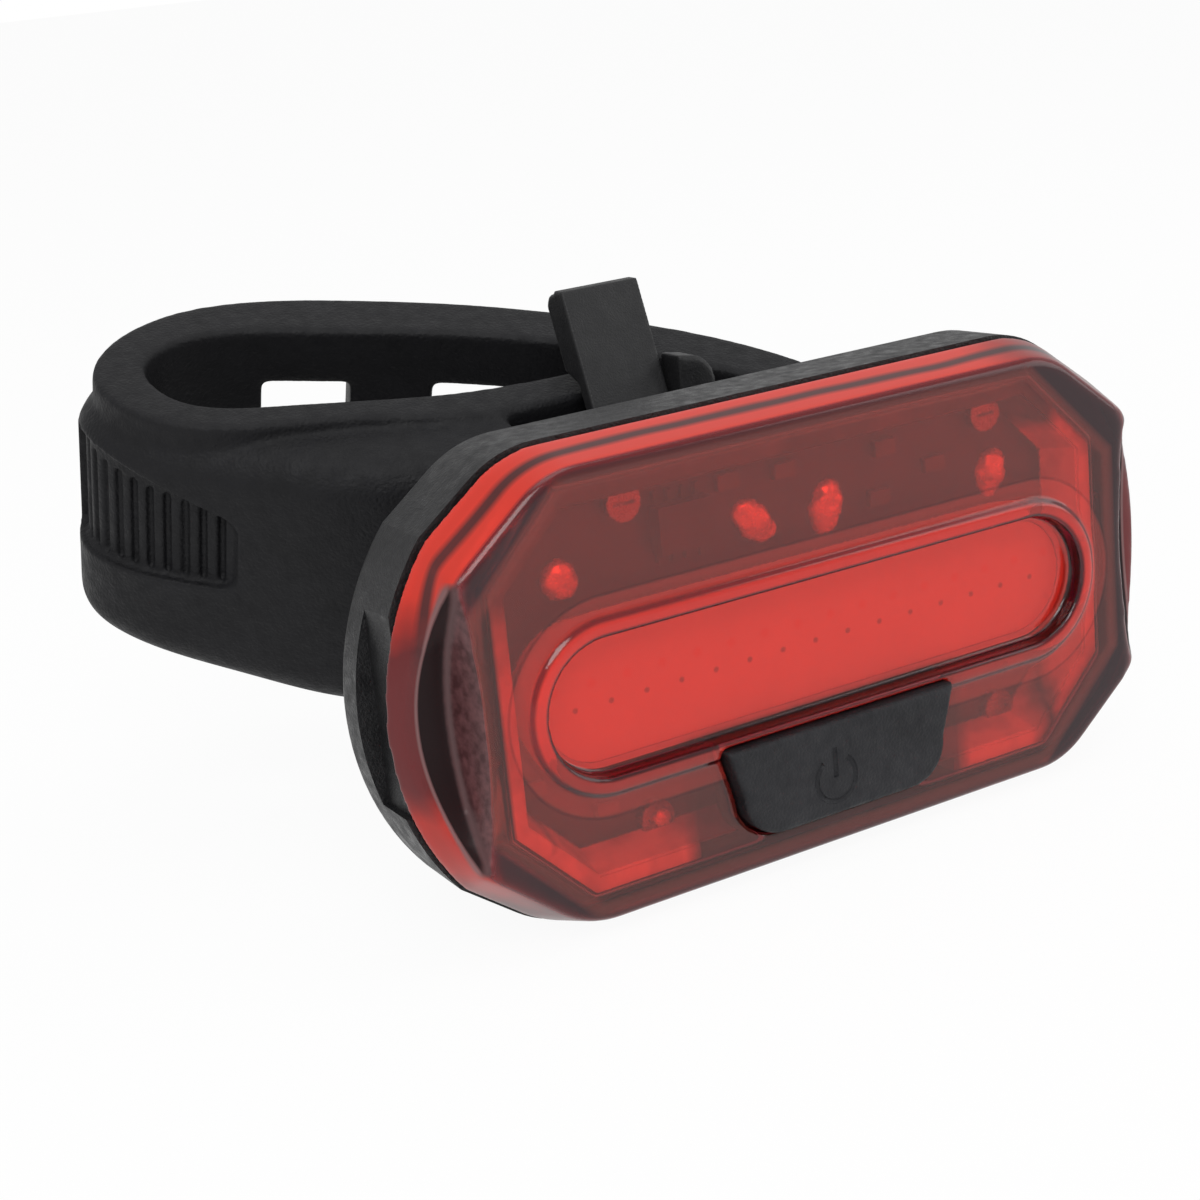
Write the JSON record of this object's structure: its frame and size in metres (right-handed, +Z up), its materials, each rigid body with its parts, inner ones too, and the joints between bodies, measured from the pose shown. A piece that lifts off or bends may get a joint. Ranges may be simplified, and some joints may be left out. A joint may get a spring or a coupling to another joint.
{
  "type": "bicycle tail light",
  "caption": "Oblong red bicycle tail light with a rubber power button, sliding off a bracket that a tilted rubber ladder strap holds on a seat post.",
  "frame": {"origin": "middle of the rubber saddle, in the face region that bears on the seat post", "axes": "+Z up, +Y forward into the bicycle, +X to the rider's right; the lens faces -Y; the seat post leans back by 20 degrees, along (0, -0.342, 0.940)"},
  "size_m": [0.0794, 0.0635, 0.0443],
  "materials": {
    "red_lens": "clear",
    "seal_rubber": "satin",
    "white_plastic": "satin",
    "strip_plate": "satin",
    "strip_gel": "satin",
    "led_die": "gloss",
    "board": "satin",
    "frame_plastic": "satin",
    "screw_steel": "satin",
    "solder": "bright",
    "chip_black": "matt",
    "chip_tan": "matt",
    "button_rubber": "matt",
    "switch_plastic": "matt",
    "plunger_plastic": "matt",
    "case_plastic": "satin",
    "cell_steel": "satin",
    "spring_steel": "bright",
    "contact_steel": "satin",
    "strap_rubber": "satin",
    "bracket_plastic": "satin",
    "lever_plastic": "satin"
  },
  "bodies": {
    "bracket": {"bracket_base": "bracket_plastic", "strap": "strap_rubber"},
    "lever": {"release_lever": "lever_plastic"},
    "lamp_case": {"rear_case": "case_plastic", "battery_upper": "cell_steel", "battery_lower": "cell_steel", "contact_springs": "spring_steel", "contact_plates": "contact_steel", "contact_bridge": "contact_steel"},
    "front_module": {"front_lens": "red_lens", "lens_gasket": "seal_rubber", "reflector_tray": "white_plastic", "cob_substrate": "strip_plate", "cob_phosphor": "strip_gel", "led_dies": "led_die", "circuit_board": "board", "inner_frame": "frame_plastic", "board_screws": "screw_steel", "solder_joints": "solder", "controller_chip": "chip_black", "chip_parts": "chip_tan", "switch_body": "switch_plastic"},
    "button": {"power_button": "button_rubber"},
    "plunger": {"switch_plunger": "plunger_plastic"}
  },
  "joints": [
    {"name": "lamp_slide", "type": "slide", "parent": "bracket", "child": "lamp_case", "axis": [0, 0, 1], "range_m": [0, 0.024]},
    {"name": "lever_flex", "type": "hinge", "parent": "bracket", "child": "lever", "pos_m": [0, -0.01055, -0.0055], "axis": [-1, 0, 0], "range_deg": [0, 4], "stiffness_Nm_per_rad": 0.4},
    {"name": "front_pull", "type": "slide", "parent": "lamp_case", "child": "front_module", "axis": [0, -1, 0], "range_m": [0, 0.03]},
    {"name": "button_press", "type": "slide", "parent": "front_module", "child": "button", "axis": [0, 1, 0], "range_m": [0, 0.0008], "stiffness_N_per_m": 900},
    {"name": "switch_press", "type": "slide", "parent": "front_module", "child": "plunger", "axis": [0, 1, 0], "range_m": [0, 0.0008]}
  ],
  "couplings": [
    {"joint": "switch_press", "follows": "button_press", "ratio": 1}
  ]
}
